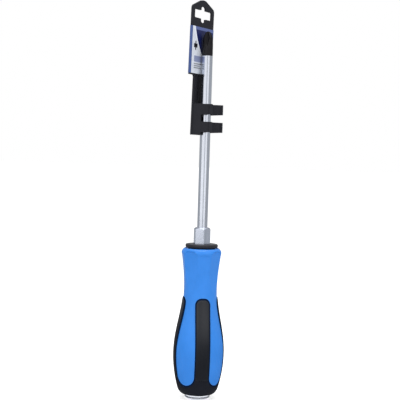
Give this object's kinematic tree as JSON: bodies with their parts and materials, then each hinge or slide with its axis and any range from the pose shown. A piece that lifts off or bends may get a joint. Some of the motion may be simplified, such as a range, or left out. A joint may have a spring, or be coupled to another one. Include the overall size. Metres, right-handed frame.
{
  "type": "cross-head screwdriver",
  "caption": "Cross-head screwdriver: round blade with hexagonal bolster, soft-grip handle, through tang to a steel strike cap, and a hanger that clips on the shaft.",
  "frame": {"origin": "centre of the flat striking face of the butt cap", "axes": "+Z along the blade from the strike cap to the tip; +Y from the blade to the hanger's plate, so the printed face looks along -Y; +X across the hanger"},
  "size_m": [0.0382, 0.0382, 0.3059],
  "materials": {
    "blade_steel": "satin chrome plated shaft, black burnished tip",
    "bolster_steel": "satin",
    "cap_steel": "turned, bright",
    "core_plastic": "moulded",
    "shell_plastic": "smooth, half gloss",
    "grip_rubber": "matt soft overmould",
    "collar_rubber": "matt",
    "hanger_plastic": "moulded, slightly grained",
    "label_print": "printed, coated"
  },
  "bodies": {
    "driver": {"blade": "blade_steel", "hex_bolster": "bolster_steel", "strike_cap": "cap_steel", "handle_core": "core_plastic", "handle_shell": "shell_plastic", "soft_grip": "grip_rubber", "front_collar": "collar_rubber"},
    "clip_hanger": {"hanger": "hanger_plastic", "label": "label_print"}
  },
  "joints": [
    {"name": "clip_slide", "type": "slide", "parent": "driver", "child": "clip_hanger", "axis": [0, 0, 1], "range_m": [-0.07, 0.05]}
  ]
}
